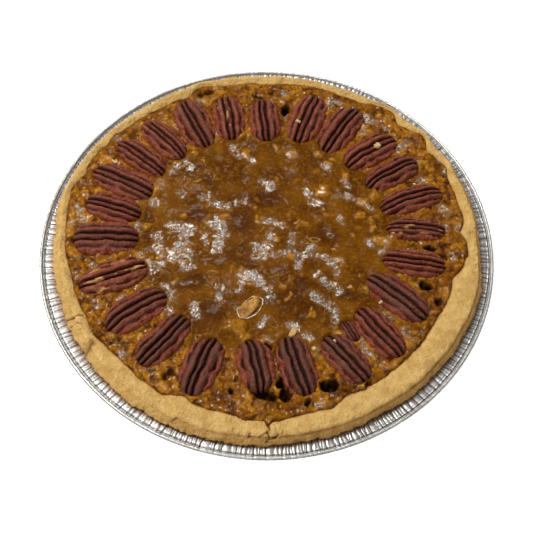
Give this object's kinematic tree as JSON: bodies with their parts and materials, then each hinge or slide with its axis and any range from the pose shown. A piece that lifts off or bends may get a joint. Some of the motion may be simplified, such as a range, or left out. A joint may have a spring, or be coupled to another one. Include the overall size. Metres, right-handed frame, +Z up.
{
  "type": "pecan pie",
  "caption": "Round pecan pie in its foil tin: a tan crust, a glossy brown nut filling and a ring of pecan halves set in the top.",
  "frame": {"origin": "middle of the tin's flat base, on the surface that it stands on", "axes": "+Z up through the middle of the pie; -Y towards the side shown in front in the picture; +X to the right"},
  "size_m": [0.2444, 0.2444, 0.0438],
  "materials": {
    "foil": "bright pleated foil",
    "crust": "dry golden shortcrust, sandy and matte",
    "filling": "glossy brown syrup set over chopped nuts",
    "pecan": "roasted pecan, furrowed, with a thin syrup sheen"
  },
  "bodies": {
    "root": {"foil_tin": "foil", "crust": "crust", "filling": "filling", "pecan_01": "pecan", "pecan_02": "pecan", "pecan_03": "pecan", "pecan_04": "pecan", "pecan_05": "pecan", "pecan_06": "pecan", "pecan_07": "pecan", "pecan_08": "pecan", "pecan_09": "pecan", "pecan_10": "pecan", "pecan_11": "pecan", "pecan_12": "pecan", "pecan_13": "pecan", "pecan_14": "pecan", "pecan_15": "pecan", "pecan_16": "pecan", "pecan_17": "pecan", "pecan_18": "pecan", "pecan_19": "pecan", "pecan_20": "pecan", "pecan_21": "pecan", "pecan_22": "pecan", "pecan_23": "pecan", "pecan_24": "pecan", "pecan_chip": "pecan"}
  },
  "joints": []
}
